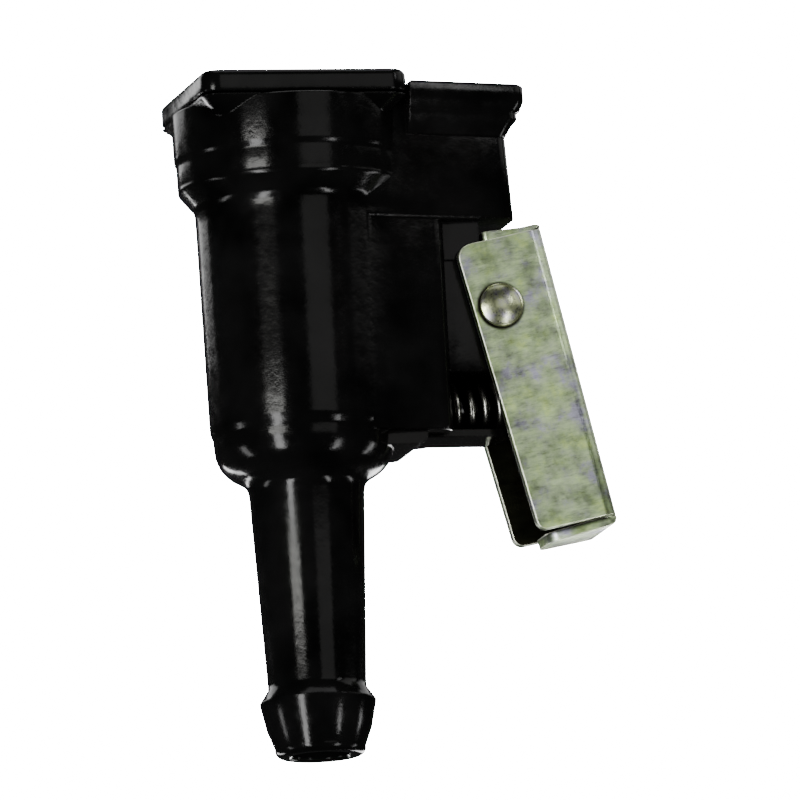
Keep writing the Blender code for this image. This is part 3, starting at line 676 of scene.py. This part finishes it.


# springs: round wire along a helix, the end turns closed

# a coil along Z from start to end, in millimetres.
def makeSpring(name, coilR, wireR, start, end, turns):
    sides = 36
    shut = 1.0
    total = int((turns + 2 * shut) * sides)
    pitch = 2 * wireR * 1.06
    points = []
    for i in range(total + 1):
        at = i / sides
        if at < shut:
            rise = pitch * at
        elif at > turns + shut:
            rise = end - start - pitch * (turns + 2 * shut - at)
        else:
            rise = pitch * shut + (end - start - 2 * pitch * shut) * (at - shut) / turns
        angle = 2 * math.pi * at
        points.append((coilR * math.cos(angle), coilR * math.sin(angle), start + rise))
    clearSelection()
    curve = bpy.data.curves.new(name, "CURVE")
    curve.dimensions = "3D"
    curve.bevel_depth = wireR * mm
    curve.bevel_resolution = 4
    curve.use_fill_caps = True
    spline = curve.splines.new("POLY")
    spline.points.add(len(points) - 1)
    for point, (x, y, z) in zip(spline.points, points):
        point.co = (x * mm, y * mm, z * mm, 1)
    coil = bpy.data.objects.new(name, curve)
    bpy.context.collection.objects.link(coil)
    pick(coil)
    bpy.ops.object.convert(target="MESH")
    coil = bpy.context.object
    bpy.ops.object.mode_set(mode="EDIT")
    bpy.ops.mesh.select_all(action="SELECT")
    bpy.ops.mesh.remove_doubles(threshold=0.000001)
    bpy.ops.mesh.normals_make_consistent(inside=False)
    bpy.ops.object.mode_set(mode="OBJECT")
    return coil


springLow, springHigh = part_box("lever_spring")
leverSpring = makeSpring("leverSpring", 2.2, 0.35, springLow[0] / mm + 0.35, springHigh[0] / mm - 0.35, 7.5)
lay(leverSpring, (0, 0, body["springZ"]), (0, math.pi / 2, 0))
settle(leverSpring, "connector", "lever_spring", wire, 60)
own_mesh(leverSpring)

valveLow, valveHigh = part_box("valve_spring")
valveSpring = makeSpring("valveSpring", 3.4, 0.35, valveLow[2] / mm + 0.35, valveHigh[2] / mm - 0.35, 6.0)
settle(valveSpring, "connector", "valve_spring", wire, 60)
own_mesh(valveSpring)
print("springs made")


# seals, seat and check valve

# a turned ring with rounded outer and inner corners.
def makeRing(name, inner, outer, low, high, edge):
    rings = [(inner, high - edge), (inner + edge * 0.3, high - edge * 0.3), (inner + edge, high),
             (outer - edge, high), (outer - edge * 0.3, high - edge * 0.3), (outer, high - edge),
             (outer, low + edge), (outer - edge, low), (inner + edge, low), (inner, low + edge)]
    return turn(name, rings, 128, loop=True)


bores = {"carrier": 6.8, "gasket": 7.0, "retainer": 2.0}     # radii the rings leave open

oringLow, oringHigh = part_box("socket_oring")
oringThick = (oringHigh[2] - oringLow[2]) / 2 / mm
oringZ = (oringHigh[2] + oringLow[2]) / 2 / mm
oring = turn("socketOring", bow(oringHigh[0] / mm - oringThick, oringZ, oringThick, 180, -180, 28)[:-1], 128,
             loop=True)
settle(oring, "connector", "socket_oring", rubber, 60)

carrierLow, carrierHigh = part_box("seal_carrier")
carrier = makeRing("sealCarrier", bores["carrier"], carrierHigh[0] / mm, carrierLow[2] / mm, carrierHigh[2] / mm, 0.2)
settle(carrier, "connector", "seal_carrier", plastic)

seatLow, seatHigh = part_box("valve_seat")
seatTop, seatFoot, seatR = seatHigh[2] / mm, seatLow[2] / mm, seatHigh[0] / mm
seat = turn("valveSeat", [(4.9, seatTop - 0.15), (5.05, seatTop), (seatR - 0.2, seatTop), (seatR, seatTop - 0.2),
                          (seatR, seatFoot + 0.2), (seatR - 0.2, seatFoot), (4.25, seatFoot), (4.1, seatFoot + 0.08),
                          (3.08, seatFoot + 1.05), (3.0, seatFoot + 1.2), (3.0, seatFoot + 1.55),
                          (3.1, seatFoot + 1.68), (4.9, seatTop - 1.9)], 128, loop=True)
settle(seat, "connector", "valve_seat", brass)

gasketLow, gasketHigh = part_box("seat_gasket")
gasket = makeRing("seatGasket", bores["gasket"], gasketHigh[0] / mm, gasketLow[2] / mm, gasketHigh[2] / mm, 0.1)
settle(gasket, "connector", "seat_gasket", rubber)

plungerLow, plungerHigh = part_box("valve_plunger")
noseTop, stemEnd = plungerHigh[2] / mm, plungerLow[2] / mm
valve = {"noseR": 1.05, "noseRound": 0.45, "discR": 5.0, "discTop": -13.9, "discFoot": -15.8, "stemR": 1.6}
plunger = turn("valvePlunger", [(0.5, noseTop - 0.12), (0.75, noseTop)]
               + bow(valve["noseR"], noseTop - valve["noseRound"], valve["noseRound"], 90, 0, 6)
               + [(1.5, -12.0), (valve["stemR"], -12.3), (2.3, -13.8), (2.5, valve["discTop"]),
                  (valve["discR"] - 0.25, valve["discTop"]), (valve["discR"], valve["discTop"] - 0.25),
                  (valve["discR"], valve["discFoot"] + 0.1), (valve["discR"] - 0.1, valve["discFoot"]),
                  (2.3, valve["discFoot"]), (1.7, -16.4), (valve["stemR"], -16.7),
                  (valve["stemR"], stemEnd + 0.5), (1.1, stemEnd)], 96)
settle(plunger, "plunger", "valve_plunger", plastic)

sealLow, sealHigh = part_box("plunger_seal")
sealThick = (sealHigh[2] - sealLow[2]) / 2 / mm
seal = turn("plungerSeal", bow(sealHigh[0] / mm - sealThick, (sealHigh[2] + sealLow[2]) / 2 / mm, sealThick,
                               180, -180, 24)[:-1], 128, loop=True)
settle(seal, "plunger", "plunger_seal", rubber, 60)

retainerLow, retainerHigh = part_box("spring_retainer")
retainer = makeRing("springRetainer", bores["retainer"], 6.5, retainerLow[2] / mm, retainerHigh[2] / mm, 0.2)
flowHoles = []
for k in range(6):
    drilled = turn("flowHole", [(1.1, -33), (1.1, -28)], 40)
    lay(drilled, (4.3 * math.cos(k * math.pi / 3), 4.3 * math.sin(k * math.pi / 3), 0))
    flowHoles.append(drilled)
fuse(retainer, flowHoles, "DIFFERENCE")
settle(retainer, "connector", "spring_retainer", plastic)
print("check valve made")


# camera, floor and light

cameraSet = {"azimuth": 14.0, "elevation": -10.0, "roll": 3.15, "distance": 2.0, "width": 0.080,
             "aimU": 9.79, "aimV": -31.80}


# looks from the left and a little below, with a long lens; the aim is in millimetres across and up the view.
def setCamera():
    a, e = math.radians(cameraSet["azimuth"]), math.radians(cameraSet["elevation"])
    back = Vector((-math.sin(a) * math.cos(e), -math.cos(a) * math.cos(e), math.sin(e)))
    right = Vector((math.cos(a), -math.sin(a), 0))
    up = back.cross(right)
    aim = (right * cameraSet["aimU"] + up * cameraSet["aimV"]) * mm
    roll = math.radians(cameraSet["roll"])
    acrossView = right * math.cos(roll) - up * math.sin(roll)
    upView = right * math.sin(roll) + up * math.cos(roll)
    clearSelection()
    bpy.ops.object.camera_add(location=aim + back * cameraSet["distance"])
    camera = bpy.context.object
    camera.rotation_euler = Matrix((acrossView, upView, back)).transposed().to_euler()
    camera.data.lens = camera.data.sensor_width * cameraSet["distance"] / cameraSet["width"]
    camera.data.clip_start, camera.data.clip_end = 0.05, 6
    bpy.context.scene.camera = camera


# an upright area light at an azimuth from the -Y side, spanning two heights, facing the fuel axis.
def softBox(name, azimuth, low, high, width, distance, power, tone):
    a = math.radians(azimuth)
    middle = (low + high) / 2
    place = Vector((math.sin(a) * distance, -math.cos(a) * distance, middle))
    clearSelection()
    bpy.ops.object.light_add(type="AREA", location=place)
    lamp = bpy.context.object
    lamp.name = name
    lamp.data.shape = "RECTANGLE"
    lamp.data.size, lamp.data.size_y = width, high - low
    lamp.data.energy = power
    lamp.data.color = tone
    lamp.visible_camera = False
    lamp.rotation_euler = (Vector((0.008, 0, -0.03)) - place).to_track_quat("-Z", "Y").to_euler()


# name, azimuth, lowest, highest, width, distance, power, colour
lights = [("leftLow", -46, -0.34, -0.03, 0.09, 0.45, 5.8, (1, 1, 1)),
          ("stemStrip", -46, -0.03, 0.006, 0.17, 0.45, 1.1, (1, 1, 0.96)),
          ("barrelStrip", -46, 0.028, 0.046, 0.19, 0.45, 0.025, (1, 1, 1)),
          ("rightLow", 33, -0.42, -0.16, 0.06, 0.45, 2.2, (1, 1, 1)),
          ("bendStrip", 44, 0.088, 0.25, 0.04, 0.45, 0.5, (1, 1, 1)),
          ("bendPanel", 76, 0.1, 0.55, 0.5, 0.7, 2.2, (1, 1, 0.97)),
          ("rightPanel", 124, 0.1, 0.55, 0.45, 0.7, 1.4, (1, 1, 1)),
          ("frontPanel", 14, -0.05, 0.30, 0.40, 0.7, 1.36, (1, 0.995, 0.97)),
          ("backLeft", -150, 0.08, 0.35, 0.34, 0.6, 1.4, (1, 1, 1)),
          ("lowRight", 88, -0.36, -0.12, 0.06, 0.5, 1.0, (1, 1, 1)),
          ("lowBackRight", 150, -0.36, -0.12, 0.09, 0.5, 1.3, (1, 1, 1)),
          ("lowBack", -162, -0.36, -0.12, 0.05, 0.5, 1.0, (1, 1, 1)),
          ("lowLeft", -100, -0.36, -0.12, 0.07, 0.5, 1.0, (1, 1, 1))]


# floor level, then world strengths: what lights the piece, what shines in it, what the camera sees
stage = {"floorSize": 14, "floorZ": -1.6, "fill": 1.7, "shine": 0.03, "backdrop": 40.0,
         "topPlace": (0.02, -0.02, 0.6), "topSize": 0.45, "topPower": 2.6}


def setStage():
    clearSelection()
    bpy.ops.mesh.primitive_plane_add(size=stage["floorSize"], location=(0, 0, stage["floorZ"]))
    floor = bpy.context.object
    floor.name = "paleFloor"
    made, tree, shader, place = startMaterial("pale_studio_floor", Roughness=0.9)
    patch = addNode(tree, "ShaderNodeTexNoise", {}, {"Vector": place, "Scale": 1 / (60 * mm), "Detail": 2})
    tone = addNode(tree, "ShaderNodeValToRGB", {"stops": [(0.3, "#f3f3f2"), (0.7, "#f7f7f6")]},
                   {"Fac": patch.outputs["Fac"]})
    tree.links.new(tone.outputs["Color"], shader.inputs["Base Color"])
    floor.data.materials.append(made)
    floor.visible_glossy = False
    world = bpy.data.worlds.new("studioWorld")
    bpy.context.scene.world = world
    world.use_nodes = True
    tree = world.node_tree
    tree.nodes.clear()
    rays = addNode(tree, "ShaderNodeLightPath").outputs
    shell = addNode(tree, "ShaderNodeBackground", {}, {"Color": (1, 1, 1, 1), "Strength": stage["fill"]})
    dim = addNode(tree, "ShaderNodeBackground", {}, {"Color": (1, 1, 1, 1), "Strength": stage["shine"]})
    pale = addNode(tree, "ShaderNodeBackground", {}, {"Color": (1, 1, 1, 1), "Strength": stage["backdrop"]})
    lit = addNode(tree, "ShaderNodeMixShader", {}, {0: rays["Is Glossy Ray"], 1: shell.outputs[0],
                                                    2: dim.outputs[0]})
    both = addNode(tree, "ShaderNodeMixShader", {}, {0: rays["Is Camera Ray"], 1: lit.outputs[0],
                                                     2: pale.outputs[0]})
    out = addNode(tree, "ShaderNodeOutputWorld")
    tree.links.new(both.outputs[0], out.inputs["Surface"])
    for settings in lights:
        softBox(*settings)
    clearSelection()
    bpy.ops.object.light_add(type="AREA", location=stage["topPlace"])
    above = bpy.context.object
    above.name = "topPanel"
    above.data.size = stage["topSize"]
    above.data.energy = stage["topPower"]
    above.visible_camera = False


setCamera()
setStage()
print("camera, floor and lights set")
